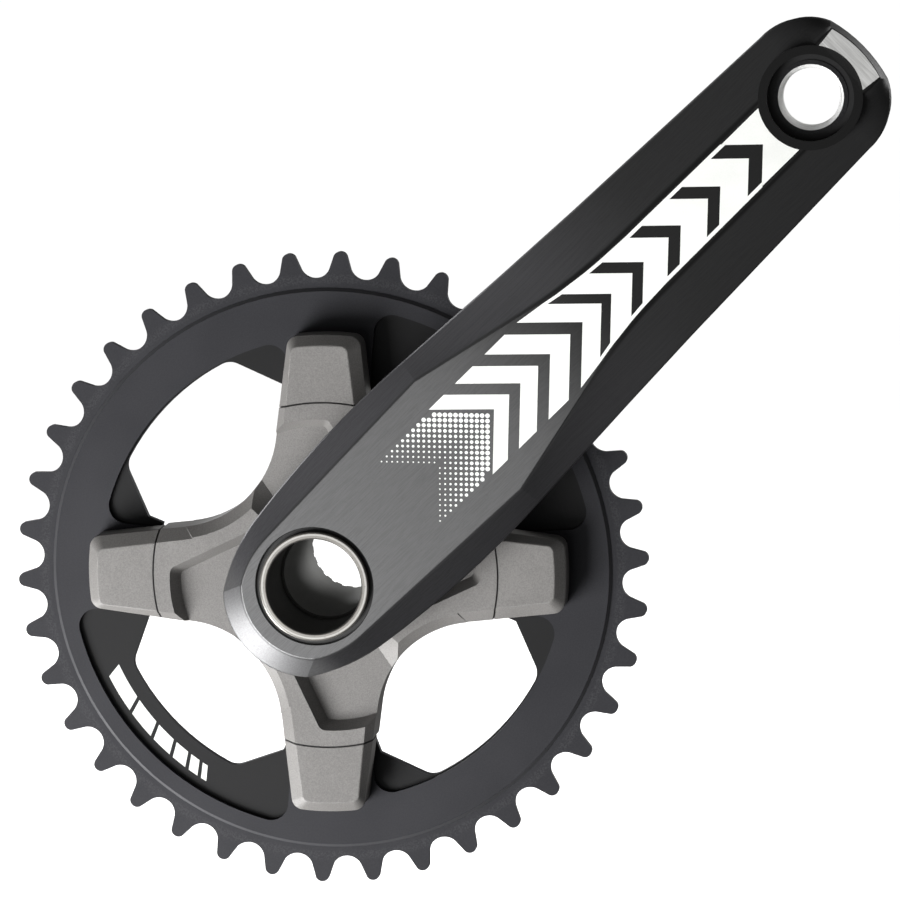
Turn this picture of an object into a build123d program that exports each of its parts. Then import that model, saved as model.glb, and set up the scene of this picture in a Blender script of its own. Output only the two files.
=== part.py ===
"""Drive-side bicycle crank unit: arm, half axle, spider, chainring and the bearing it turns in.

Millimetres. The origin is on the axle axis in the mid-plane of the chainring teeth.
+X points forward, +Z up, and -Y outboard, towards the pedal. Shapes are drawn in (u, v, w), with w
outboard along the axle, and turned into that frame when they are written.
"""
import os
from math import asin, atan, cos, degrees, pi, radians, sin

from build123d import *

# chain and ring
chain_pitch = 12.7
tooth_count = 38
roller_seat_r = 3.97
tooth_tip_r = 79.6
tooth_shoulder_r = 78.6
tooth_shoulder_half = 1.62
tooth_thickness = 2.1
seat_turn = 62.0                # half angle of the round roller seat
first_tooth = 88.18             # angle of one tooth from +u
band_half = 1.9                 # half thickness of the ring's band and tabs
band_edge_r = 70.6              # where the band bevels down to the teeth
band_inner_r = 44.0
bolt_circle_r = 52.0            # 104 mm bolt circle
bolt_count = 4
spigot_r = 5.0                  # of the covers, in the ring's bolt holes

# windows and recessed webs of the ring
short_window_r = 58.0           # two opposite windows reach this radius
tall_window_r = 56.4            # the other two have a wide recessed web outside them
window_half = 19.0              # half angle of a window's outer arc
waist_r, waist_half = 48.0, 30.0
throat_r, throat_half = 30.0, 34.0
window_corner = 4.5
web_front = 0.5                 # front level of the recessed web
wide_web_r = 66.0
narrow_web_margin = 0.4
web_side = 11.4                 # from the middle of a tab to the edge of the web
web_root_r, web_root_half = 42.0, 32.0

# crank arm
crank_length = 170.0
arm_angle = 45.0
face_height = 30.3              # outboard face above the ring plane, at the axle
face_slope = 0.0565
edge_height = 25.5              # foot of the bevels
edge_slope = 0.0535
side_wall = 4.5                 # upright wall below the bevels
back_height = 14.7
back_slope = 0.07
back_inset = 2.0
face_round = 0.5
edge_break = 0.4
collar_r = 19.0                 # joins the arm to its splined boss
boss_r = 15.4
boss_end = -5.0                 # inboard end of the arm's boss

# axle
axle_r = 12.0
axle_bore_r = 11.0
axle_inner_end = -43.0
axle_head_r = 13.45
axle_head_bore_r = 11.65
axle_head_back = 1.0
axle_step = 7.0                 # where the wider bore of the head starts
axle_outer_end = 30.9
coupling_teeth = 24
coupling_tooth = (2.4, 1.2, 6.0)
axle_edge_break = 0.35
seal_groove_r = 14.55
seal_groove_floor = 28.4
seal_thickness = 0.8

# pedal eye
pedal_thread_r = 7.14           # 9/16 inch pedal thread
insert_r = 8.8
insert_back = 27.8
insert_chamfer = 0.6
pedal_boss_r = 12.4
pedal_boss_foot = 30.0
pedal_boss_top = 40.5
pedal_seat_r = 10.3
pedal_seat_floor = 37.2
eye_relief_r = 9.6              # wider hole behind the insert

# spider
spline_r = 16.4
spline_teeth = 16
spline_tooth = (2.2, 1.6)
hollow_centre = (36.8, 37.9)    # of the round hollow between two arms
hollow_r = 25.5
spider_rim_r = 37.0
spider_back = -1.9
spider_tab_back = -5.9
tab_half = 9.0                  # half width of the tab behind each arm
tab_end_r = 58.5
tab_middle = 28.5
tab_corner = 8.0
spider_recess_r = 24.0          # round the lock ring
pocket_floor = 8.6
pad_top = 12.5
pad_edge = 10.0                 # foot of the pad's bevels
pad_bevel = 2.7
seam_r = 43.1                   # joint between an arm and its cover
seam_gap = 0.25
pad_round = 0.5
lock_ring_r = 20.5
lock_ring_notches = 8
lock_ring_notch_r = 1.6

# pad outline: half widths are (clockwise side, other side) of the arm
pad_root = 33.0
pad_foot = (59.8, (11.6, 12.7), (8.6, 9.4), 3.0)
pad_crown = (57.2, (8.7, 10.5), (5.6, 8.3), 1.8)

# chainring bolts
bolt_r = 3.98
bolt_end = 8.2
bolt_head_r = 6.2
bolt_head_height = 2.5
bolt_head_chamfer = 0.6
bolt_socket_r = 2.9
bolt_socket_past_head = 1.2

# bearing and cup
bearing_bore_r = 12.55
bearing_outer_r = 18.5
bearing_front = -8.0
bearing_width = 7.0
outer_race_inner_r = 16.6
inner_race_outer_r = 14.4
ball_r = 1.75
ball_pitch_r = 15.5
ball_total = 20
track_slack = 0.05
cage_half = 2.5
cage_outer_r = 16.1
cage_inner_r = 14.9
cage_slack = 0.06
shield_thickness = 0.4
shield_inset = 0.2
shield_gap = 0.12
cup_front = -6.6
cup_flange_r = 22.0
cup_flange_back = -16.5
cup_notches = 16
cup_notch_r = 1.9
cup_notch_length = 7.0
cup_thread_r = 17.4             # 1.37 inch bottom bracket thread
cup_thread_start = -19.2        # the thread runs out in a relief behind the flange
cup_relief_r = 16.9
cup_thread_end = -29.0
cup_bore_r = 15.0
cup_chamfer = 0.8
spacer_r = 21.4
spacer_width = 2.5
circlip_groove_r = 19.3
circlip_groove_back = -7.9
circlip_front = -7.0
circlip_thickness = 0.85
circlip_inner_r = 17.2
circlip_ear_r = 1.5
circlip_ear_place = (16.9, 11.0)    # radius and half angle
circlip_gap = (6.0, 4.0)
circlip_hole_r = 0.6
bush_flange_front = -6.4
bush_flange_r = 16.4
bush_spacer_r = 14.2

slip = 0.03                     # radial clearance of a sliding fit
fine = 0.02
through = 100.0                 # longer than anything it cuts

bearing_back = bearing_front - bearing_width
bearing_middle = bearing_front - bearing_width / 2
pitch_r = chain_pitch / 2 / sin(pi / tooth_count)
tooth_step = 360 / tooth_count


def disc(radius, low, high):
    """A solid cylinder on the axle axis between two levels."""
    return Pos(0, 0, low) * Cylinder(radius, high - low, align=(Align.CENTER, Align.CENTER, Align.MIN))


def tube(outer, inner, low, high):
    """A ring of rectangular section on the axle axis."""
    return disc(outer, low, high) - disc(inner, low - 1, high + 1)


def raised(outline, low, high):
    """A prism of an outline between two levels."""
    return Pos(0, 0, low) * extrude(outline, amount=high - low)


def polar(radius, angle):
    return (radius * cos(radians(angle)), radius * sin(radians(angle)))


def outer_corners(face):
    """The two corners of a face that lie furthest from the axle."""
    return face.vertices().sort_by(lambda corner: -abs(Vector(*corner)))[:2]


def edges_at(shape, height, slope=0.0):
    """A shape's edges that lie on a level which rises along +u."""
    def off_level(edge):
        middle = edge.center()
        return abs(middle.Z - height - slope * middle.X)

    return shape.edges().filter_by(lambda edge: off_level(edge) < fine)


def write(name, shape):
    """Turns a shape from (u, v, w) into the part's frame and writes it."""
    solid = Rot(90, 0, 0) * shape
    export_step(solid, os.path.join("parts", name + ".step"))


# chainring

def tooth_outline():
    """The ring's rim: a round roller seat, two flanks and a rounded tip for every tooth."""
    seat_x = pitch_r - roller_seat_r * cos(radians(seat_turn))
    seat_y = roller_seat_r * sin(radians(seat_turn))
    seat = [(seat_x, -seat_y), (pitch_r - roller_seat_r, 0), (seat_x, seat_y)]
    crown = [
        (tooth_shoulder_r, -tooth_shoulder_half),
        (tooth_tip_r, 0),
        (tooth_shoulder_r, tooth_shoulder_half),
    ]

    def turned(points, angle):
        return [Vector(x, y, 0).rotate(Axis.Z, angle) for x, y in points]

    edges = []
    for index in range(tooth_count):
        middle = first_tooth + index * tooth_step
        gap = turned(seat, middle - tooth_step / 2)
        tooth = turned(crown, middle)
        next_gap = turned(seat, middle + tooth_step / 2)
        edges += [ThreePointArc(*gap), Line(gap[2], tooth[0])]
        edges += [ThreePointArc(*tooth), Line(tooth[2], next_gap[0])]
    return make_face(edges)


def window(outer_r, middle):
    """One opening between two tabs, open towards the axle."""
    waist = [polar(waist_r, middle + side * waist_half) for side in (-1, 1)]
    throat = [polar(throat_r, middle + side * throat_half) for side in (-1, 1)]
    top = [polar(outer_r, middle + side * window_half) for side in (-1, 1)]
    outline = [
        Line(throat[0], waist[0]),
        Line(waist[0], top[0]),
        ThreePointArc(top[0], polar(outer_r, middle), top[1]),
        Line(top[1], waist[1]),
        Line(waist[1], throat[1]),
        Line(throat[1], throat[0]),
    ]
    face = make_face(outline)
    return fillet(outer_corners(face), window_corner)


def web_pocket(outer_r, middle):
    """The recessed web round one window: bounded by the band and by the covers."""
    half = 45 - degrees(asin(web_side / outer_r))
    outer = [polar(outer_r, middle + side * half) for side in (-1, 1)]
    inner = [polar(web_root_r, middle + side * web_root_half) for side in (-1, 1)]
    outline = [
        Line(inner[0], outer[0]),
        ThreePointArc(outer[0], polar(outer_r, middle), outer[1]),
        Line(outer[1], inner[1]),
        Line(inner[1], inner[0]),
    ]
    face = make_face(outline)
    return fillet(outer_corners(face), window_corner)


def make_chainring():
    plate = extrude(tooth_outline(), amount=tooth_thickness / 2, both=True)
    band = Cylinder(band_edge_r, 2 * band_half)
    rims = band.edges().filter_by(GeomType.CIRCLE)
    band = chamfer(rims, band_half - tooth_thickness / 2 - fine)
    ring = plate + band - Cylinder(band_inner_r, through)
    for index in range(bolt_count):
        middle = 45 + 90 * index
        wide = index % 2 == 0
        window_r = tall_window_r if wide else short_window_r
        web_r = wide_web_r if wide else short_window_r + narrow_web_margin
        ring -= extrude(window(window_r, middle), amount=through / 2, both=True)
        ring -= Pos(0, 0, web_front) * extrude(web_pocket(web_r, middle), amount=through)
    for place in PolarLocations(bolt_circle_r, bolt_count):
        ring -= place * Cylinder(spigot_r + 2 * slip, through)
    return ring


# crank arm, drawn along +u

# Half outlines, from the rear to the tip: distance along the arm and half width.
edge_legs = [
    [(-18.6, 14.7), (-10.3, 19.0), (0, 21.8)],
    [(0, 21.8), (28, 24.2), (54, 23.8)],
    [(54, 23.8), (86, 21.9)],
    [(86, 21.9), (110, 20.7)],
    [(110, 20.7), (171, 18.5)],
    [(171, 18.5), (175.6, 18.0), (179.6, 16.2)],
    [(179.6, 16.2), (183.4, 13.2), (185.7, 9.6)],
]
face_legs = [
    [(-12.9, 12.7), (-7.1, 15.4), (0, 16.5)],
    [(0, 16.5), (54, 18.2)],
    [(54, 18.2), (86, 11.0)],
    [(86, 11.0), (97, 9.0), (110, 7.9)],
    [(110, 7.9), (171, 7.4)],
    [(171, 7.4), (179, 7.8)],
    [(179, 7.8), (185.0, 8.3)],
]
edge_rear, edge_tip = -24.5, 187.0
face_rear, face_tip = -18.3, 186.3


def narrowed(legs, amount):
    return [[(s, q - amount) for s, q in leg] for leg in legs]


def arm_section(legs, rear, tip, height, slope):
    """A closed outline of the arm on a sloping level: an arc at each end, the same legs on both sides."""
    def lift(s, q):
        return Vector(s, q, height + slope * s)

    def leg_edge(points):
        return Line(*points) if len(points) == 2 else ThreePointArc(*points)

    left = [leg_edge([lift(s, q) for s, q in leg]) for leg in legs]
    right = [leg_edge([lift(s, -q) for s, q in reversed(leg)]) for leg in reversed(legs)]
    s0, q0 = legs[0][0]
    s1, q1 = legs[-1][-1]
    tip_arc = ThreePointArc(lift(s1, q1), lift(tip, 0), lift(s1, -q1))
    rear_arc = ThreePointArc(lift(s0, -q0), lift(rear, 0), lift(s0, q0))
    return make_face(left + [tip_arc] + right + [rear_arc])


def spline_section():
    """The toothed section that carries the spider."""
    teeth = Sketch() + [place * Rectangle(*spline_tooth) for place in PolarLocations(spline_r, spline_teeth)]
    return Circle(spline_r) + teeth


def softened(arm):
    """Breaks the sharp edges above and below the arm's bevels."""
    def is_outline(edge):
        across = edge.geom_type == GeomType.LINE and abs(edge.center().Y) < 1
        return edge.geom_type != GeomType.ELLIPSE and not across

    arm = chamfer(edges_at(arm, edge_height, edge_slope), edge_break)
    return fillet(edges_at(arm, face_height, face_slope).filter_by(is_outline), face_round)


def make_crank_arm():
    face = arm_section(face_legs, face_rear, face_tip, face_height, face_slope)
    edge = arm_section(edge_legs, edge_rear, edge_tip, edge_height, edge_slope)
    foot = arm_section(edge_legs, edge_rear, edge_tip, edge_height - side_wall, edge_slope)
    back_legs = narrowed(edge_legs, back_inset)
    back = arm_section(back_legs, edge_rear + back_inset, edge_tip - back_inset, back_height, back_slope)
    arm = loft([edge, face], ruled=True) + loft([foot, edge], ruled=True) + loft([back, foot], ruled=True)
    eye = Pos(crank_length, 0, 0)
    arm += eye * disc(pedal_boss_r, pedal_boss_foot, pedal_boss_top)
    arm -= eye * (disc(pedal_seat_r, pedal_seat_floor, through) + disc(insert_r, 0, through))
    arm -= eye * disc(eye_relief_r, 0, insert_back - 0.2)
    arm += disc(collar_r, pocket_floor, back_height + 1)
    arm += raised(spline_section(), spider_back, pocket_floor + 1)
    arm += disc(boss_r, boss_end, spider_back + 1)
    arm -= disc(seal_groove_r, seal_groove_floor, through)
    arm -= disc(axle_head_r, 0, through) + disc(axle_r, -through, axle_head_back + 1)
    return Rot(0, 0, arm_angle) * softened(arm)


def make_tip_plate():
    """Bright plate on the arm's end, hollowed round the pedal eye."""
    thickness = 0.9
    outline = [
        Line((177.0, 7.0), (185.0, 7.9)),
        ThreePointArc((185.0, 7.9), (186.1, 0), (185.0, -7.9)),
        Line((185.0, -7.9), (177.0, -7.0)),
        Line((177.0, -7.0), (177.0, 7.0)),
    ]
    slab = extrude(make_face(outline), amount=through)
    eye = Pos(crank_length, 0, 0) * disc(pedal_boss_r + 0.1, 0, through)
    span = arm_section(edge_legs, edge_rear, edge_tip, face_height, face_slope)
    layer = extrude(span, amount=thickness, dir=(0, 0, 1))
    return Rot(0, 0, arm_angle) * (slab & layer - eye)


def make_pedal_insert():
    sleeve = tube(insert_r, pedal_thread_r, insert_back, pedal_seat_floor + 0.2)
    rims = sleeve.edges().filter_by(GeomType.CIRCLE).filter_by(lambda edge: edge.radius < insert_r - 1)
    return Rot(0, 0, arm_angle) * Pos(crank_length, 0, 0) * chamfer(rims, insert_chamfer)


# axle

def make_axle():
    body = disc(axle_r, axle_inner_end, axle_head_back + 1) + disc(axle_head_r, axle_head_back, axle_outer_end)
    body -= Cylinder(axle_bore_r, through) + disc(axle_head_bore_r, axle_step, through)
    body = chamfer(edges_at(body, axle_outer_end), axle_edge_break)
    # radial teeth on the inner end, which lock into the left half of the axle
    for place in PolarLocations(axle_r, coupling_teeth):
        body -= place * Pos(0, 0, axle_inner_end) * Rot(0, 90, 0) * Box(*coupling_tooth)
    return body


def make_axle_seal_ring():
    return tube(seal_groove_r - slip, axle_head_r + slip, seal_groove_floor, seal_groove_floor + seal_thickness)


# spider and covers

def turned_point(outward, clockwise):
    """A point of the arm that lies along +u: outward distance, and offset to its clockwise side."""
    return (outward, -clockwise)


def pad_outline(outer, inner_sides, outer_sides, corner):
    """Pad outline on the +u arm, from inside the hub to a rounded outer end."""
    inner_cw, inner_other = inner_sides
    outer_cw, outer_other = outer_sides
    first = turned_point(pad_root, inner_cw)
    second = turned_point((outer ** 2 - outer_cw ** 2) ** 0.5, outer_cw)
    third = turned_point((outer ** 2 - outer_other ** 2) ** 0.5, -outer_other)
    fourth = turned_point(pad_root, -inner_other)
    outline = [
        Line(first, second),
        ThreePointArc(second, (outer, 0), third),
        Line(third, fourth),
        Line(fourth, first),
    ]
    face = make_face(outline)
    return fillet(face.vertices().sort_by(Axis.X)[-2:], corner)


def make_pad():
    """The raised pad on one arm's end: half of it belongs to the spider, the rest is the cover."""
    foot = pad_outline(*pad_foot)
    crown = pad_outline(*pad_crown)
    upper = loft([Pos(0, 0, pad_edge) * foot, Pos(0, 0, pad_top) * crown])
    return raised(foot, band_half, pad_edge) + upper


def hub_outline():
    """Outline of the hub and the roots of the four arms, with a round hollow between each two."""
    outline = Sketch() + Circle(spider_rim_r)
    for turn in range(bolt_count):
        outline -= Rot(0, 0, 90 * turn) * Pos(*hollow_centre) * Circle(hollow_r)
    return outline


def sunk_floor():
    """The sunk part of the +u arm beside its raised rim, with sloping walls."""
    def level(block_wall, rest, corner):
        first, middle, last = [turned_point(*point) for point in block_wall]
        points = [last] + [turned_point(*point) for point in rest] + [first]
        lines = [Line(a, b) for a, b in zip(points, points[1:])]
        face = make_face([ThreePointArc(first, middle, last)] + lines)
        tip = face.vertices().sort_by_distance((last[0], last[1], 0))[0]
        return fillet(tip, corner)

    crown = level([(36.4, -14.0), (38.75, -5.0), (38.8, 1.2)],
                  [(16.0, 12.2), (8.0, 6.0), (8.0, -8.9), (30.1, -33.4)], 2.2)
    floor = level([(34.3, -13.6), (36.6, -5.0), (36.7, -0.2)],
                  [(15.0, 10.2), (9.0, 5.0), (9.0, -6.3), (31.0, -21.7)], 1.4)
    return loft([Pos(0, 0, pocket_floor) * floor, Pos(0, 0, pad_top + fine) * crown], ruled=True)


def make_spider(pad):
    hub = hub_outline()
    bevel = degrees(atan(pad_bevel / (pad_top - pad_edge)))
    body = raised(hub, spider_back, pad_edge)
    body += Pos(0, 0, pad_edge) * extrude(hub, amount=pad_top - pad_edge, taper=bevel)
    arm_end = pad + raised(pad_outline(*pad_foot), spider_back, band_half)
    arm_end &= Cylinder(seam_r - seam_gap / 2, through)
    tab_outline = fillet(Rectangle(2 * (tab_end_r - tab_middle), 2 * tab_half).vertices(), tab_corner)
    for turn in range(bolt_count):
        place = Rot(0, 0, 90 * turn)
        body += place * arm_end
        body += place * Pos(tab_middle, 0, 0) * raised(tab_outline, spider_tab_back, spider_back)
        body -= place * sunk_floor()
        body -= place * Pos(bolt_circle_r, 0, 0) * disc(bolt_r + 0.2, -through, 0)
    body -= disc(collar_r + 0.3, pocket_floor, through)
    body -= disc(spider_recess_r, -through, spider_back)
    body -= raised(spline_section(), -through, through)
    return body


def make_lock_ring():
    ring = tube(lock_ring_r, boss_r + slip, boss_end + 0.1, spider_back)
    for place in PolarLocations(lock_ring_r, lock_ring_notches):
        ring -= place * Cylinder(lock_ring_notch_r, through)
    return ring


def make_bolt_cover(pad, turn):
    inside = Cylinder(seam_r + seam_gap / 2, through)
    centre = Pos(bolt_circle_r, 0, 0)
    pad = fillet(edges_at(pad, pad_top), pad_round)
    pad = fillet(edges_at(pad, pad_edge), pad_round)
    cover = pad - inside + centre * disc(spigot_r, 0.1 - band_half, band_half + 0.5)
    cover -= centre * disc(bolt_r + fine, -through, bolt_end + 0.4)
    return Rot(0, 0, 90 * turn) * cover


def make_chainring_bolt(turn):
    head_back = spider_tab_back - bolt_head_height
    bolt = disc(bolt_r, spider_tab_back, bolt_end) + disc(bolt_head_r, head_back, spider_tab_back)
    bolt = chamfer(edges_at(bolt, head_back), bolt_head_chamfer)
    bolt -= raised(RegularPolygon(bolt_socket_r, 6), head_back - 1, spider_tab_back + bolt_socket_past_head)
    return Rot(0, 0, 90 * turn) * Pos(bolt_circle_r, 0, 0) * bolt


# bearing and cup

def groove():
    """The track the balls run in."""
    return Pos(0, 0, bearing_middle) * Torus(ball_pitch_r, ball_r + track_slack)


def make_bearing_cup():
    cup = chamfer(disc(cup_flange_r, cup_flange_back, cup_front).edges().filter_by(GeomType.CIRCLE), cup_chamfer)
    cup += disc(cup_relief_r, cup_thread_start - 1, cup_flange_back + 1)
    thread = disc(cup_thread_r, cup_thread_end, cup_thread_start)
    cup += chamfer(edges_at(thread, cup_thread_end), cup_chamfer)
    cup -= disc(bearing_outer_r, bearing_back, 0) + Cylinder(cup_bore_r, through)
    cup -= tube(circlip_groove_r, cup_bore_r, circlip_groove_back, circlip_front + fine)
    for place in PolarLocations(cup_flange_r + 0.6, cup_notches):
        middle = cup_flange_back + cup_notch_length / 2
        cup -= place * Pos(0, 0, middle) * Cylinder(cup_notch_r, cup_notch_length + 0.1)
    return cup


def make_cup_spacer():
    return tube(spacer_r, cup_thread_r + 0.1, cup_flange_back - spacer_width, cup_flange_back)


def make_circlip():
    low = circlip_front - circlip_thickness
    ear_r, ear_half = circlip_ear_place
    ring = tube(circlip_groove_r - 0.05, circlip_inner_r, low, circlip_front)
    ears = [Pos(*polar(ear_r, side * ear_half), low) for side in (-1, 1)]
    for ear in ears:
        ring += ear * disc(circlip_ear_r, 0, circlip_thickness)
    ring -= Pos(bearing_outer_r, 0, low) * Box(*circlip_gap, 4)
    for ear in ears:
        ring -= ear * disc(circlip_hole_r, -1, 2)
    return ring


def make_outer_race():
    return tube(bearing_outer_r - fine, outer_race_inner_r, bearing_back, bearing_front) - groove()


def make_inner_race():
    return tube(inner_race_outer_r, bearing_bore_r, bearing_back, bearing_front) - groove()


def make_shields():
    """Two thin shields that close the bearing, held in the outer race."""
    def shield(low):
        return tube(outer_race_inner_r - fine, inner_race_outer_r + shield_gap, low, low + shield_thickness)

    front = bearing_front - shield_inset - shield_thickness
    return Compound([shield(front), shield(bearing_back + shield_inset)])


def ball_places():
    return [Pos(0, 0, bearing_middle) * place for place in PolarLocations(ball_pitch_r, ball_total)]


def make_balls():
    return Compound([place * Sphere(ball_r) for place in ball_places()])


def make_cage():
    cage = tube(cage_outer_r, cage_inner_r, bearing_middle - cage_half, bearing_middle + cage_half)
    for place in ball_places():
        cage -= place * Rot(0, 90, 0) * Cylinder(ball_r + cage_slack, 4)
    return cage


def make_axle_bush():
    """Plastic sleeve between the axle and the bearing, with a dust flange outside it."""
    bore = axle_r + slip
    sleeve = tube(bearing_bore_r - 0.05, bore, bearing_back, bearing_front)
    spacer = tube(bush_spacer_r, bore, bearing_front, bush_flange_front)
    flange = tube(bush_flange_r, bore, bush_flange_front, boss_end - 0.05)
    return sleeve + spacer + flange


def main():
    os.makedirs("parts", exist_ok=True)
    pad = make_pad()
    write("crank_arm", make_crank_arm())
    write("tip_plate", make_tip_plate())
    write("pedal_thread_insert", make_pedal_insert())
    write("axle", make_axle())
    write("axle_seal_ring", make_axle_seal_ring())
    write("spider", make_spider(pad))
    write("spider_lock_ring", make_lock_ring())
    write("chainring", make_chainring())
    for turn in range(bolt_count):
        write(f"bolt_cover_{turn + 1}", make_bolt_cover(pad, turn))
        write(f"chainring_bolt_{turn + 1}", make_chainring_bolt(turn))
    write("bearing_cup", make_bearing_cup())
    write("cup_spacer", make_cup_spacer())
    write("bearing_circlip", make_circlip())
    write("bearing_outer_race", make_outer_race())
    write("bearing_inner_race", make_inner_race())
    write("bearing_shields", make_shields())
    write("bearing_balls", make_balls())
    write("ball_cage", make_cage())
    write("axle_bush", make_axle_bush())


main()
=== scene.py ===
from math import atan2, cos, pi, radians, sin, sqrt

import bmesh
import bpy
from mathutils import Matrix, Vector


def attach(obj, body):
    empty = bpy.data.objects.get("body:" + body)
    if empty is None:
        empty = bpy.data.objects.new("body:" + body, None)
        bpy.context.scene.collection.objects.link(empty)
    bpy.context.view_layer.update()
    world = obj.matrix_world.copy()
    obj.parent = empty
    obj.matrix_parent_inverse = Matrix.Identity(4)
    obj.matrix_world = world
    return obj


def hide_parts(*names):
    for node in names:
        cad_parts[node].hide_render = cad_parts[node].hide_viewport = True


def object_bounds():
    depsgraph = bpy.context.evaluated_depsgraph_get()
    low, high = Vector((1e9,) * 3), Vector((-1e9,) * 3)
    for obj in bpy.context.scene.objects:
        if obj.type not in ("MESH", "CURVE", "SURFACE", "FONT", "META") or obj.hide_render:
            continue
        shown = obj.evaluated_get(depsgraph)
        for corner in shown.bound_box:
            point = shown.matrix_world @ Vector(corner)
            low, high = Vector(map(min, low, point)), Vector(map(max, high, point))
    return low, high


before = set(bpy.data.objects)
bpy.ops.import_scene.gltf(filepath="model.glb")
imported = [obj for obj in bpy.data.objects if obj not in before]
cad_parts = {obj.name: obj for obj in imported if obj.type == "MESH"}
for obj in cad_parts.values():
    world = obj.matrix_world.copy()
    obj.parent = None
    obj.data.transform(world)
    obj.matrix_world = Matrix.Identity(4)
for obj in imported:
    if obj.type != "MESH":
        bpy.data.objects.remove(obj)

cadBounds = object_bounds()
mm = 0.001

cameraSetup = {  # a long lens, a little above the axle and to its right
    "place": (0.17061, -1.1814, 0.17563),
    "toward": (-0.11750, 0.98564, -0.12126),
    "lens": 192.8,
    "sensor": 36.0,
    "farClip": 60.0,
}

studio = {
    "aim": (0.02, 0.0, 0.02),
    "wash": {"from": (0.25, 0.74, 0.62), "strength": 5.2, "softness": 12.0},
    "skyStrength": 0.10,
    "floorSize": 60.0,
    "floorDrop": 0.13,  # below the part, so that the turning arm clears it
}

softboxes = {
    "key": {"from": (-0.60, -0.62, -0.50), "away": 0.95, "size": (0.5, 0.5), "power": 15.0},
    "strip": {"from": (-0.69, -0.22, -0.69), "away": 0.8, "size": (1.0, 0.35), "power": 9.0},
    "front": {"from": (-0.30, -0.90, -0.30), "away": 1.5, "size": (0.8, 0.8), "power": 2.0},
    "rearLeft": {"from": (-0.62, 0.72, 0.32), "away": 1.4, "size": (0.9, 0.9), "power": 10.0},
    "rearRight": {"from": (0.72, 0.62, 0.34), "away": 1.4, "size": (0.9, 0.9), "power": 9.0},
}


def linkObject(obj):
    bpy.context.scene.collection.objects.link(obj)
    return obj


def addCamera():
    data = bpy.data.cameras.new("camera")
    data.lens = cameraSetup["lens"]
    data.sensor_width = cameraSetup["sensor"]
    data.clip_end = cameraSetup["farClip"]
    camera = linkObject(bpy.data.objects.new("camera", data))
    camera.location = cameraSetup["place"]
    camera.rotation_euler = Vector(cameraSetup["toward"]).to_track_quat("-Z", "Y").to_euler()
    bpy.context.scene.camera = camera


def addSoftbox(name, box):
    data = bpy.data.lights.new(name, "AREA")
    data.shape = "RECTANGLE"
    data.size, data.size_y = box["size"]
    data.energy = box["power"]
    light = linkObject(bpy.data.objects.new(name, data))
    away = Vector(box["from"]).normalized()
    light.location = Vector(studio["aim"]) + away * box["away"]
    light.rotation_euler = (-away).to_track_quat("-Z", "Y").to_euler()


def addFloorWash():
    sun = studio["wash"]
    data = bpy.data.lights.new("wash", "SUN")
    data.energy = sun["strength"]
    data.angle = radians(sun["softness"])
    light = linkObject(bpy.data.objects.new("wash", data))
    light.rotation_euler = (-Vector(sun["from"])).to_track_quat("-Z", "Y").to_euler()
    return light


def addSky():
    world = bpy.data.worlds.new("studio")
    bpy.context.scene.world = world
    world.use_nodes = True
    sky = world.node_tree.nodes["Background"]
    sky.inputs["Color"].default_value = (1, 1, 1, 1)
    sky.inputs["Strength"].default_value = studio["skyStrength"]


addCamera()
for boxName, softbox in softboxes.items():
    addSoftbox(boxName, softbox)
floorWash = addFloorWash()
addSky()
bpy.context.scene.view_settings.view_transform = "Standard"
print("stage: camera and lights")

noiseRange = (0.3, 0.7)  # where nearly all of a noise's values lie
wearRange = (0.56, 0.72)  # its upper values, which come in patches


class Sock:  # an output of a material's nodes, with arithmetic
    def __init__(self, tree, socket=None):
        self.tree = tree
        self.socket = socket

    def make(self, kind, settings=None, inputs=None, output=0):
        node = self.tree.nodes.new(kind)
        for key, value in (settings or {}).items():
            setattr(node, key, value)
        for key, value in (inputs or {}).items():
            if isinstance(value, Sock):
                self.tree.links.new(value.socket, node.inputs[key])
            elif node.inputs[key].type == "RGBA":
                node.inputs[key].default_value = (*value, 1)
            else:
                node.inputs[key].default_value = value
        return Sock(self.tree, node.outputs[output]) if node.outputs else None

    def math(self, operation, first, second=0.0):
        return self.make("ShaderNodeMath", {"operation": operation}, {0: first, 1: second})

    def __add__(self, other):
        return self.math("ADD", self, other)

    def __sub__(self, other):
        return self.math("SUBTRACT", self, other)

    def __rsub__(self, other):
        return self.math("SUBTRACT", other, self)

    def __mul__(self, other):
        return self.math("MULTIPLY", self, other)

    __radd__ = __add__
    __rmul__ = __mul__

    def root(self):
        return self.math("SQRT", self)

    def step(self, low, high):  # 0 below low, 1 above high, smooth between
        kind = {"interpolation_type": "SMOOTHSTEP"}
        return self.make("ShaderNodeMapRange", kind, {"Value": self, "From Min": low, "From Max": high})

    def band(self, low, high, soft):  # 1 from low to high
        return self.step(low - soft, low + soft) * (1 - self.step(high - soft, high + soft))

    def even(self):  # a noise that fills 0 to 1
        return self.step(*noiseRange)

    def worn(self):  # a noise's patches
        return self.step(*wearRange)

    def spread(self, low, high):  # 0 to 1 becomes low to high
        return self * (high - low) + low

    def mix(self, below, above):  # a colour laid over another where this mask is 1
        return self.make("ShaderNodeMix", {"data_type": "RGBA"}, {0: self, 6: below, 7: above}, 2)

    def scaled(self, amount):  # a colour made darker, or a point in other units
        return self.make("ShaderNodeVectorMath", {"operation": "SCALE"}, {0: self, "Scale": amount})


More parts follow.
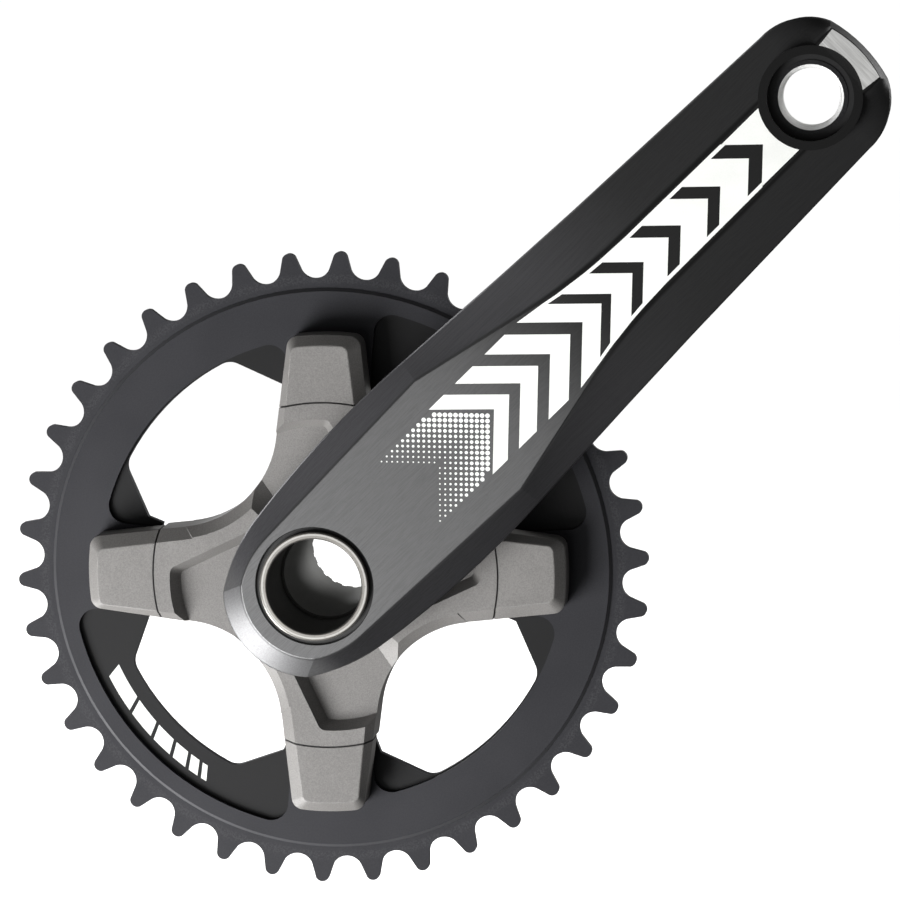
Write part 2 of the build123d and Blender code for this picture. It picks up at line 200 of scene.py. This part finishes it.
class Place(Sock):  # a point of the part, in millimetres, and what is worked out from it
    def __init__(self, tree):
        super().__init__(tree)
        self.point = self.make("ShaderNodeTexCoord", output=3).scaled(1 / mm)
        self.x, self.y, self.z = [
            self.make("ShaderNodeSeparateXYZ", None, {0: self.point}, axis) for axis in range(3)
        ]
        self.out = self.y * -1

    def radius(self, x=0.0, z=0.0):
        across, up = self.x - x, self.z - z
        return (across * across + up * up).root()

    def along(self):  # distance along the arm
        return (self.x + self.z) * sqrt(0.5)

    def beside(self):  # distance to the arm's left
        return (self.z - self.x) * sqrt(0.5)

    def vector(self, x, y, z):
        return self.make("ShaderNodeCombineXYZ", None, {0: x, 1: y, 2: z})

    def noise(self, scale, detail=2.0, rough=0.5, vector=None):
        wanted = {"Vector": vector or self.point, "Scale": scale, "Detail": detail, "Roughness": rough}
        return self.make("ShaderNodeTexNoise", None, wanted)

    def grains(self, scale):
        return self.make("ShaderNodeTexVoronoi", None, {"Vector": self.point, "Scale": scale})


def makeMaterial(name, recipe):
    material = bpy.data.materials.new(name)
    material.use_nodes = True
    tree = material.node_tree
    tree.nodes.clear()
    place = Place(tree)
    look = recipe(place)
    if "height" in look:
        height, depth, bump = [look.pop(key) for key in ("height", "depth", "bump")]
        relief = {"Height": height, "Strength": bump, "Distance": depth * mm}
        look["Normal"] = place.make("ShaderNodeBump", None, relief)
    surface = place.make("ShaderNodeBsdfPrincipled", None, look)
    place.make("ShaderNodeOutputMaterial", None, {"Surface": surface})
    return material


armShape = {
    "length": 170.0,
    "faceHeight": 30.3,  # of the outboard face at the axle
    "faceSlope": 0.0565,  # it rises towards the pedal
}

armFinish = {  # each zone: its tone near the axle, its tone near the pedal, and where it fades
    "face": ((0.108, 0.108, 0.109), (0.0085, 0.0085, 0.0085), (52.0, 106.0)),
    # left and right: painted light, the left side lighter as if lit and the right side darker as if shaded
    "left": ((0.162, 0.161, 0.171), (0.031, 0.031, 0.0315), (40.0, 130.0)),
    "right": ((0.084, 0.083, 0.088), (0.029, 0.029, 0.0295), (45.0, 120.0)),
    # rear: a painted highlight, the rear end made lighter where it catches the light
    "rear": (0.190, 0.190, 0.193),
    "rearEnd": (-16.0, -8.0),
    "faceEdge": (-0.55, -0.2),  # depth at which the face gives way to the sides
    "middle": (-0.5, 0.5),
    "lean": 0.12,  # of the fade, across the arm
    "drift": 10.0,
    "metalFade": (50.0, 120.0),
    "brushLength": 0.035,
    "brushWidth": 3.6,
    "scratches": (0.35, 0.68),
    "scratchShare": 0.3,
    "scratchDim": 0.45,
    "specks": (0.55, 0.8),
    "speckShare": 0.2,
    "speckDim": 0.3,
    "groove": (13.6, 14.7, 0.1),  # round the axle's end
    "grooveDepth": (26.0, 27.0),
    "grooveTone": (0.008, 0.008, 0.008),
}


def brushedArm(place):
    finish = armFinish
    along, beside = place.along(), place.beside()
    fine = finish["brushWidth"]
    brushing = place.vector(along * finish["brushLength"], beside * fine, place.out * fine)
    hair = place.noise(1.0, 3.0, 0.6, brushing)
    cloud = place.noise(0.05, 2.0)
    speck = place.noise(2.2, 2.0, 0.7)
    reach = along + beside * finish["lean"] + cloud * finish["drift"] - finish["drift"] / 2

    def faded(zone):
        near, far, fade = finish[zone]
        return reach.step(*fade).mix(near, far)

    below = place.out - along * armShape["faceSlope"] - armShape["faceHeight"]
    # painted light: lit and shaded tones for the two sides, and a painted highlight on the rear end
    side = beside.step(*finish["middle"]).mix(faded("right"), faded("left"))
    side = (1 - along.step(*finish["rearEnd"])).mix(side, finish["rear"])
    tone = below.step(*finish["faceEdge"]).mix(side, faded("face"))
    scratched = hair.step(*finish["scratches"]) * finish["scratchShare"]
    tone = scratched.mix(tone, tone.scaled(finish["scratchDim"]))
    specked = speck.step(*finish["specks"]) * finish["speckShare"]
    tone = specked.mix(tone, tone.scaled(finish["speckDim"]))
    groove = place.radius().band(*finish["groove"]) * place.out.step(*finish["grooveDepth"])
    return {
        "Base Color": groove.mix(tone, finish["grooveTone"]),
        "Metallic": reach.step(*finish["metalFade"]).spread(0.85, 0.4),
        "Specular IOR Level": 0.3,
        "Roughness": hair.spread(0.33, 0.52) + speck * 0.06,
        "height": hair * 0.6 + speck * 0.4,
        "depth": 0.035,
        "bump": 0.35,
    }


paintFinish = {
    "seam": (42.85, 43.35, 0.08),  # darker along the joint between the spider's arm and its cover
    "seamFront": (1.9, 2.4),  # and none of it on the spider's back
    "seamShare": 0.8,
    "seamTone": (0.012, 0.012, 0.011),
    "flecks": (0.33, 0.68),
    "pits": (0.05, 0.24),
    "pitShare": 0.3,
    "pitDim": 0.55,
    "glitter": (0.4, 0.7),
}


def speckledPaint(dark, light):
    def recipe(place):
        finish = paintFinish
        seam = place.radius().band(*finish["seam"]) * place.out.step(*finish["seamFront"])
        fleck = place.noise(3.4, 2.0, 0.75)
        grain = place.grains(2.6)
        cloud = place.noise(0.06, 2.0)
        tone = (fleck * 0.75 + cloud * 0.25).step(*finish["flecks"]).mix(dark, light)
        pitted = (1 - grain.step(*finish["pits"])) * finish["pitShare"]
        tone = pitted.mix(tone, tuple(finish["pitDim"] * c for c in dark))
        return {
            "Base Color": (seam * finish["seamShare"]).mix(tone, finish["seamTone"]),
            "Metallic": fleck.step(*finish["glitter"]) * 0.25,
            "Roughness": fleck.spread(0.42, 0.64),
            "height": fleck * 0.7 + grain * 0.3,
            "depth": 0.05,
            "bump": 0.45,
        }
    return recipe


ringFinish = {
    "plain": (0.0255, 0.0255, 0.0295),
    "dark": (0.017, 0.017, 0.0205),
    "web": (0.007, 0.007, 0.0075),
    "bareAndHighlight": (0.14, 0.14, 0.145),
    "mottle": (0.32, 0.68),
    "webLevel": (0.42, 0.6, 0.08),  # the sunk webs, painted darker as shade
    "webEnd": (66.3, 66.6),
    "rootWear": ((71.4, 72.2), (73.2, 74.6)),  # where the chain's rollers sit
    "rootPatches": (0.42, 0.62),
    "rootShare": 0.1,
    "bandEdge": (69.75, 70.55, 0.12),  # where the thick band steps down to the teeth, with a painted highlight along it
    "bandLevel": (1.84, 1.9),
    "edgeHighlightShare": 0.3,
}


def anodisedRing(place):
    finish = ringFinish
    reach = place.radius()
    around = place.noise(1.0, 2.0, 0.5, place.vector(reach * 2.4, 0.0, 0.0))
    speck = place.noise(2.6, 2.0, 0.7)
    cloud = place.noise(0.045, 2.0)
    tone = (speck * 0.5 + cloud * 0.5).step(*finish["mottle"]).mix(finish["dark"], finish["plain"])
    # painted shade: the sunk webs are darkened
    shadedWeb = place.out.band(*finish["webLevel"]) * (1 - reach.step(*finish["webEnd"]))
    tone = shadedWeb.mix(tone, finish["web"])
    wearFrom, wearTo = finish["rootWear"]
    worn = (1 - reach.step(*wearTo)) * reach.step(*wearFrom) * speck.step(*finish["rootPatches"])
    tone = (worn * finish["rootShare"]).mix(tone, finish["bareAndHighlight"])
    # painted highlight along the band's edge, in the tone of the bare metal
    edge = reach.band(*finish["bandEdge"]) * (1 - place.out.step(*finish["bandLevel"]))
    return {
        "Base Color": (edge * finish["edgeHighlightShare"]).mix(tone, finish["bareAndHighlight"]),
        "Metallic": 0.25,
        "Specular IOR Level": 0.3,
        "Roughness": around.spread(0.36, 0.58) + speck * 0.08,
        "height": around * 0.5 + speck * 0.5,
        "depth": 0.04,
        "bump": 0.3,
    }


axleFinish = {
    "turned": ((0.30, 0.285, 0.26), (0.40, 0.385, 0.36)),
    "rim": (12.55, 12.95, 0.1),  # the polished end in the arm
    "rimLevel": (30.0, 30.4),
    "rimTone": (0.62, 0.61, 0.58),
    "bore": (11.72, 11.85),
    "boreShadeTone": (0.25, 0.25, 0.24),
    "outerBore": (6.8, 7.2),  # darker still from here outboard
    "outerBoreTone": (0.06, 0.057, 0.053),
    "stains": (0.6, 0.78),
    "stainShare": 0.35,
    "stainTone": (0.07, 0.065, 0.06),
}


def turnedAxle(place):
    finish = axleFinish
    reach = place.radius()
    turning = place.noise(1.0, 2.0, 0.5, place.vector(reach * 5.0, place.out * 3.0, 0.0))
    speck = place.noise(1.6, 2.0)
    inside = 1 - reach.step(*finish["bore"])
    rim = reach.band(*finish["rim"]) * place.out.step(*finish["rimLevel"])
    tone = rim.mix(turning.even().mix(*finish["turned"]), finish["rimTone"])
    # painted shade: the inside of the bore is darkened
    tone = inside.mix(tone, finish["boreShadeTone"])
    tone = (inside * place.out.step(*finish["outerBore"])).mix(tone, finish["outerBoreTone"])
    stained = speck.step(*finish["stains"]) * finish["stainShare"]
    return {
        "Base Color": stained.mix(tone, finish["stainTone"]),
        "Metallic": (1 - inside).spread(0.35, 0.9),
        "Roughness": inside.spread(0.28, 0.5) + turning * 0.12,
        "height": turning,
        "depth": 0.02,
        "bump": 0.3,
    }


tipFinish = {
    "brushLength": 0.12,
    "brushWidth": 3.0,
    "silver": ((0.66, 0.66, 0.645), (0.86, 0.86, 0.845)),
    "hairs": (0.3, 0.72),
    "specks": (0.6, 0.8),
    "speckShare": 0.2,
    "speckTone": (0.45, 0.45, 0.44),
}


def brightPlate(place):
    finish = tipFinish
    fine = finish["brushWidth"]
    brushing = place.vector(place.along() * fine, place.beside() * finish["brushLength"], place.out * fine)
    hair = place.noise(1.0, 3.0, 0.6, brushing)
    speck = place.noise(2.4, 2.0, 0.7)
    specked = speck.step(*finish["specks"]) * finish["speckShare"]
    return {
        "Base Color": specked.mix(hair.step(*finish["hairs"]).mix(*finish["silver"]), finish["speckTone"]),
        "Metallic": 0.8,
        "Roughness": hair.spread(0.25, 0.45),
        "height": hair,
        "depth": 0.02,
        "bump": 0.3,
    }


def machinedSteel(dark, light, metallic, rough):
    def recipe(place):
        grain = place.noise(2.0, 3.0, 0.65)
        wear = place.noise(0.25, 3.0, 0.6)
        tone = grain.even().mix(dark, light)
        return {
            "Base Color": (wear.worn() * 0.35).mix(tone, tuple(0.6 * c for c in dark)),
            "Metallic": metallic,
            "Roughness": grain.spread(rough - 0.08, rough + 0.1) + wear * 0.06,
            "height": grain,
            "depth": 0.02,
            "bump": 0.3,
        }
    return recipe


cupFinish = {
    "black": ((0.016, 0.016, 0.018), (0.034, 0.034, 0.037)),
    "wearShare": 0.3,
    "wearTone": (0.008, 0.008, 0.009),
    "crest": (17.2, 17.38),  # the thread's crests, rubbed bare
    "threadEnd": (-19.4, -19.2),
    "crestShare": 0.5,
    "crestTone": (0.16, 0.16, 0.165),
}


def anodisedCup(place):
    finish = cupFinish
    grain = place.noise(2.0, 3.0, 0.65)
    wear = place.noise(0.25, 3.0, 0.6)
    crest = place.radius().step(*finish["crest"]) * (1 - place.out.step(*finish["threadEnd"]))
    tone = (wear.worn() * finish["wearShare"]).mix(grain.even().mix(*finish["black"]), finish["wearTone"])
    return {
        "Base Color": (crest * finish["crestShare"]).mix(tone, finish["crestTone"]),
        "Metallic": 0.5,
        "Roughness": grain.spread(0.32, 0.5) + wear * 0.06,
        "height": grain,
        "depth": 0.02,
        "bump": 0.3,
    }


insertFinish = {
    "black": ((0.016, 0.016, 0.017), (0.03, 0.03, 0.032)),
    "hole": (7.78, 7.84),
    "holeTone": (0.88, 0.88, 0.87),
}


def threadedInsert(place):
    eye = armShape["length"] * sqrt(0.5)
    grain = place.noise(2.2, 3.0, 0.65)
    hole = 1 - place.radius(eye, eye).step(*insertFinish["hole"])
    return {
        "Base Color": hole.mix(grain.even().mix(*insertFinish["black"]), insertFinish["holeTone"]),
        "Metallic": hole.spread(0.5, 0.3),
        "Roughness": grain.spread(0.3, 0.45),
        "height": grain,
        "depth": 0.02,
        "bump": 0.3,
    }


def mouldedPlastic(dark, light):
    def recipe(place):
        skin = place.noise(2.4, 3.0, 0.6)
        cloud = place.noise(0.12, 2.0)
        return {
            "Base Color": (skin * 0.4 + cloud * 0.6).even().mix(dark, light),
            "Roughness": skin.spread(0.45, 0.68),
            "height": skin,
            "depth": 0.04,
            "bump": 0.4,
        }
    return recipe


def printedWhite(place):
    skin = place.noise(3.0, 2.0, 0.6)
    cloud = place.noise(0.1, 2.0)
    return {
        "Base Color": (skin * 0.4 + cloud * 0.6).even().mix((0.79, 0.80, 0.77), (0.86, 0.87, 0.84)),
        "Roughness": skin.spread(0.45, 0.6),
        "height": skin,
        "depth": 0.015,
        "bump": 0.3,
    }


coverNames = [f"bolt_cover_{k}" for k in range(1, 5)]
boltNames = [f"chainring_bolt_{k}" for k in range(1, 5)]

spiderPaint = speckledPaint((0.134, 0.129, 0.124), (0.213, 0.206, 0.199))
coverPaint = speckledPaint((0.135, 0.130, 0.125), (0.215, 0.208, 0.20))

boltSteel = machinedSteel((0.38, 0.37, 0.35), (0.55, 0.54, 0.51), 0.9, 0.34)
lockRingBlack = machinedSteel((0.02, 0.02, 0.021), (0.04, 0.04, 0.042), 0.4, 0.45)
raceSteel = machinedSteel((0.5, 0.5, 0.5), (0.68, 0.68, 0.67), 0.95, 0.22)
ballSteel = machinedSteel((0.6, 0.6, 0.6), (0.75, 0.75, 0.75), 1.0, 0.14)
circlipSteel = machinedSteel((0.2, 0.2, 0.21), (0.34, 0.34, 0.35), 0.9, 0.35)
shieldGrey = machinedSteel((0.12, 0.12, 0.125), (0.2, 0.2, 0.205), 0.5, 0.4)

sealRubber = mouldedPlastic((0.008, 0.008, 0.008), (0.018, 0.018, 0.018))
spacerPlastic = mouldedPlastic((0.02, 0.02, 0.02), (0.045, 0.045, 0.046))
bushPlastic = mouldedPlastic((0.03, 0.03, 0.032), (0.06, 0.06, 0.063))
cagePlastic = mouldedPlastic((0.25, 0.12, 0.04), (0.42, 0.22, 0.08))

finishes = {
    "armAnodised": (brushedArm, ["crank_arm"]),
    "spiderPaint": (spiderPaint, ["spider"]),
    "coverPaint": (coverPaint, coverNames),
    "ringAnodised": (anodisedRing, ["chainring"]),
    "axleSteel": (turnedAxle, ["axle"]),
    "tipSilver": (brightPlate, ["tip_plate"]),
    "insertSteel": (threadedInsert, ["pedal_thread_insert"]),
    "boltSteel": (boltSteel, boltNames),
    "lockRingBlack": (lockRingBlack, ["spider_lock_ring"]),
    "cupBlack": (anodisedCup, ["bearing_cup"]),
    "raceSteel": (raceSteel, ["bearing_outer_race", "bearing_inner_race"]),
    "ballSteel": (ballSteel, ["bearing_balls"]),
    "circlipSteel": (circlipSteel, ["bearing_circlip"]),
    "shieldGrey": (shieldGrey, ["bearing_shields"]),
    "sealRubber": (sealRubber, ["axle_seal_ring"]),
    "spacerPlastic": (spacerPlastic, ["cup_spacer"]),
    "bushPlastic": (bushPlastic, ["axle_bush"]),
    "cagePlastic": (cagePlastic, ["ball_cage"]),
}

for finishName, (recipe, nodeNames) in finishes.items():
    material = makeMaterial(finishName, recipe)
    for nodeName in nodeNames:
        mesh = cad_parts[nodeName].data
        mesh.materials.clear()
        mesh.materials.append(material)
print("stage: finishes on", len(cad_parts), "frame parts")

floorPaint = makeMaterial("floorPaint", lambda place: {
    "Base Color": place.noise(0.004, 1.0).mix((0.90, 0.90, 0.90), (0.92, 0.92, 0.92)),
    "Roughness": 0.9,
    "Specular IOR Level": 0.0,
})


def addFloor():
    bm = bmesh.new()
    bmesh.ops.create_grid(bm, x_segments=1, y_segments=1, size=studio["floorSize"] / 2)
    mesh = bpy.data.meshes.new("floor")
    bmesh.ops.translate(bm, verts=bm.verts, vec=(0, 0, cadBounds[0].z - studio["floorDrop"]))
    bm.to_mesh(mesh)
    bm.free()
    floor = linkObject(bpy.data.objects.new("floor", mesh))
    floor.data.materials.append(floorPaint)
    floor.visible_shadow = False  # the softboxes stand partly below it
    floor.visible_diffuse = False
    floor.visible_glossy = False
    washed = bpy.data.collections.new("washed")  # the wash whitens the floor and nothing else
    washed.objects.link(floor)
    floorWash.light_linking.receiver_collection = washed
    floorWash.light_linking.blocker_collection = washed


addFloor()
print("stage: floor")


def finishPiece(name, bm, material, body):
    mesh = bpy.data.meshes.new(name)
    bm.to_mesh(mesh)
    bm.free()
    piece = linkObject(bpy.data.objects.new(name, mesh))
    mesh.materials.append(material)
    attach(piece, body)
    return piece


printFilm = {"lift": 0.015, "thick": 0.03}
printWhite = makeMaterial("printWhite", printedWhite)

armPrint = {
    "faceCorners": [(0.0, 16.5), (54.0, 18.2), (86.0, 11.0), (97.0, 9.0), (110.0, 7.9), (171.0, 7.4)],
    "margin": 0.5,
    "strip": 0.9,
    "widest": 11.0,
    "eyeClear": 12.6,
    "eyeSteps": 14,
    "panelEnd": 147.0,
    "lead": 1.05,  # how far a chevron's point leads its ends, per half width
    "chevrons": [  # where each one starts, and its thickness
        (142.0, 9.6), (128.2, 9.2), (114.8, 8.8), (101.8, 8.2),
        (89.4, 7.6), (77.6, 6.9), (66.6, 6.1), (56.6, 5.2),
    ],
    "stripEnd": 81.0,
    "dotStart": 49.6,
    "dotEnd": 17.0,  # how far the dots run towards the axle
    "dotPitch": 1.3,
    "dotRows": 60,
    "dotRadius": (0.6, 0.2),
    "dotSides": 8,
}


def faceHalf(s):  # half width of the arm's outboard face
    corners = armPrint["faceCorners"]
    for (s0, q0), (s1, q1) in zip(corners, corners[1:]):
        if s <= s1:
            return q0 + (q1 - q0) * (s - s0) / (s1 - s0)
    return corners[-1][1]


def printHalf(s):  # half width of the print
    return min(faceHalf(s) - armPrint["margin"], armPrint["widest"])


def onArm(s, q):  # a point on the outboard face, in metres
    w = armShape["faceHeight"] + armShape["faceSlope"] * s + printFilm["lift"]
    return Vector(((s - q) * sqrt(0.5), -w, (s + q) * sqrt(0.5))) * mm


def faceTilt():
    lean = armShape["faceSlope"] * sqrt(0.5)
    return Vector((lean, 1.0, lean)).to_track_quat("Z", "Y").to_matrix().to_4x4()


def addPatch(bm, points):
    return bm.faces.new([bm.verts.new(onArm(s, q)) for s, q in points])


def thicken(bm):  # flat faces become a film that stands out from the part
    for face in bm.faces:
        face.normal_update()
        if face.normal.y > 0:
            face.normal_flip()
    lifted = bmesh.ops.extrude_face_region(bm, geom=bm.faces[:], use_keep_orig=True)
    moved = [item for item in lifted["geom"] if isinstance(item, bmesh.types.BMVert)]
    bmesh.ops.translate(bm, verts=moved, vec=(0, -printFilm["thick"] * mm, 0))
    bmesh.ops.recalc_face_normals(bm, faces=bm.faces[:])


def addEyePanel(bm):
    eye, clear, steps = armShape["length"], armPrint["eyeClear"], armPrint["eyeSteps"]
    half, end = printHalf(eye), armPrint["panelEnd"]
    arc = []
    for k in range(steps + 1):
        q = half - 2 * half * k / steps
        arc.append((eye - sqrt(clear * clear - q * q), q))
    addPatch(bm, arc + [(end, -half), (end + armPrint["lead"] * half, 0), (end, half)])


def addChevrons(bm):
    lead, inset = armPrint["lead"], armPrint["strip"]
    ends = [armPrint["panelEnd"]]
    for start, thick in armPrint["chevrons"]:
        stop = start - thick
        near, far = printHalf(start), printHalf(stop)
        for side in (1, -1):
            outer = [(start, side * near), (start + lead * near, 0)]
            addPatch(bm, outer + [(stop + lead * far, 0), (stop, side * far)])
        ends += [start, stop]
    slant = lead * inset
    for upper, lower in zip(ends[0::2], ends[1::2]):  # edge strips join the first ones
        if lower > armPrint["stripEnd"]:
            high, low = printHalf(upper), printHalf(lower)
            for side in (1, -1):
                outer = [(upper, side * high), (upper + slant, side * (high - inset))]
                addPatch(bm, outer + [(lower + slant, side * (low - inset)), (lower, side * low)])


def addDots(bm):
    pitch, half = armPrint["dotPitch"] * sqrt(0.5), armPrint["widest"]
    most, least = armPrint["dotRadius"]
    tilt = faceTilt()
    for across in range(armPrint["dotRows"]):
        for up in range(armPrint["dotRows"]):
            s, q = (across + up) * pitch, (up - across) * pitch
            behind = armPrint["dotStart"] + armPrint["lead"] * (half - abs(q)) - s
            if abs(q) < half and 0 < behind < armPrint["dotEnd"]:
                radius = most + (least - most) * behind / armPrint["dotEnd"]
                bmesh.ops.create_circle(
                    bm, cap_ends=True, segments=armPrint["dotSides"], radius=radius * mm,
                    matrix=Matrix.Translation(onArm(s, q)) @ tilt,
                )


def makeArmPrint():
    bm = bmesh.new()
    addEyePanel(bm)
    addChevrons(bm)
    addDots(bm)
    thicken(bm)
    return finishPiece("arm_print", bm, printWhite, "crank")


ringPrint = {
    "front": 0.5,  # level of the recessed web
    "inner": 59.8,
    "outer": 63.4,
    "start": 205.0,
    "lengths": [9.0, 6.6, 5.0, 3.6, 2.4, 1.4],  # degrees
    "gap": 1.0,
    "slant": 1.6,
    "step": 1.5,
}


def makeRingPrint():
    bm = bmesh.new()
    angle = ringPrint["start"]
    level = -(ringPrint["front"] + printFilm["lift"])
    for length in ringPrint["lengths"]:
        ends = []
        for radius, lean in ((ringPrint["inner"], 0.0), (ringPrint["outer"], ringPrint["slant"])):
            a = radians(angle + lean)
            ends.append(bm.verts.new(Vector((radius * cos(a), level, radius * sin(a))) * mm))
        edge = bm.edges.new(ends)
        steps = max(1, round(length / ringPrint["step"]))
        bmesh.ops.spin(bm, geom=ends + [edge], axis=(0, -1, 0), angle=radians(length), steps=steps)
        angle += length + ringPrint["gap"]
    thicken(bm)
    return finishPiece("ring_print", bm, printWhite, "crank")


makeArmPrint()
makeRingPrint()
print("stage: printed marks")

cupThread = {
    "pitch": 1.058,  # 24 turns to the inch
    "crest": 17.4,
    "near": 0.05,  # how far from the crest a point is still on it
    "depth": 0.5,
    "from": -28.3,
    "to": -19.3,
    "slices": 4,  # to each turn
    "merge": 0.001,
    "sliceMerge": 0.0001,
}


def cutCupThread():
    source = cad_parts["bearing_cup"].data
    bm = bmesh.new()
    bm.from_mesh(source)
    bmesh.ops.remove_doubles(bm, verts=bm.verts[:], dist=cupThread["merge"] * mm)
    pitch, slices = cupThread["pitch"], cupThread["slices"]
    first, last = cupThread["from"], cupThread["to"]
    for k in range(int((last - first) / pitch * slices) + 1):
        bmesh.ops.bisect_plane(
            bm, geom=bm.verts[:] + bm.edges[:] + bm.faces[:], dist=cupThread["sliceMerge"] * mm,
            plane_co=Vector((0, -(first + k * pitch / slices), 0)) * mm, plane_no=(0, 1, 0),
        )
    for vert in bm.verts:
        x, w, z = vert.co.x / mm, -vert.co.y / mm, vert.co.z / mm
        radius = sqrt(x * x + z * z)
        if abs(radius - cupThread["crest"]) < cupThread["near"] and first < w < last:
            phase = (w / pitch + atan2(z, x) / (2 * pi)) % 1.0  # left-hand, as a drive-side cup's is
            scale = 1 - cupThread["depth"] * (1 - abs(2 * phase - 1)) / radius
            vert.co.x *= scale
            vert.co.z *= scale
    bmesh.ops.triangulate(bm, faces=bm.faces[:])
    piece = finishPiece("cup_threaded", bm, source.materials[0], "bottom_bracket")
    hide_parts("bearing_cup")
    return piece


cutCupThread()
print("stage: cup thread")

pedalThread = {
    "root": 7.2,  # just inside the insert's wall
    "crest": 6.86,
    "rootHalf": 0.36,  # half widths of the ridge, in pitches
    "crestHalf": 0.08,
    "pitch": 1.27,  # 20 turns to the inch
    "from": 28.9,
    "to": 36.6,
    "segments": 48,
}
threadSteel = makeMaterial("threadSteel", machinedSteel((0.72, 0.72, 0.71), (0.86, 0.86, 0.85), 0.35, 0.3))


def makePedalThread():
    bm = bmesh.new()
    pitch, segments = pedalThread["pitch"], pedalThread["segments"]
    root, crest = pedalThread["root"], pedalThread["crest"]
    rootHalf, crestHalf = pedalThread["rootHalf"], pedalThread["crestHalf"]
    centre = Vector((1, 0, 1)) * armShape["length"] * sqrt(0.5) * mm
    corners = []
    for radius, step in ((root, -rootHalf), (crest, -crestHalf), (crest, crestHalf), (root, rootHalf)):
        offset = Vector((radius, -(pedalThread["from"] + step * pitch), 0)) * mm
        corners.append(bm.verts.new(centre + offset))
    profile = bm.faces.new(corners)
    count = round((pedalThread["to"] - pedalThread["from"]) / pitch * segments)
    bmesh.ops.spin(
        bm, geom=[profile], cent=centre, axis=(0, -1, 0), dvec=Vector((0, -pitch / segments, 0)) * mm,
        angle=2 * pi * count / segments, steps=count,
    )
    bmesh.ops.recalc_face_normals(bm, faces=bm.faces[:])
    return finishPiece("pedal_thread", bm, threadSteel, "crank")


makePedalThread()
print("stage: pedal thread")
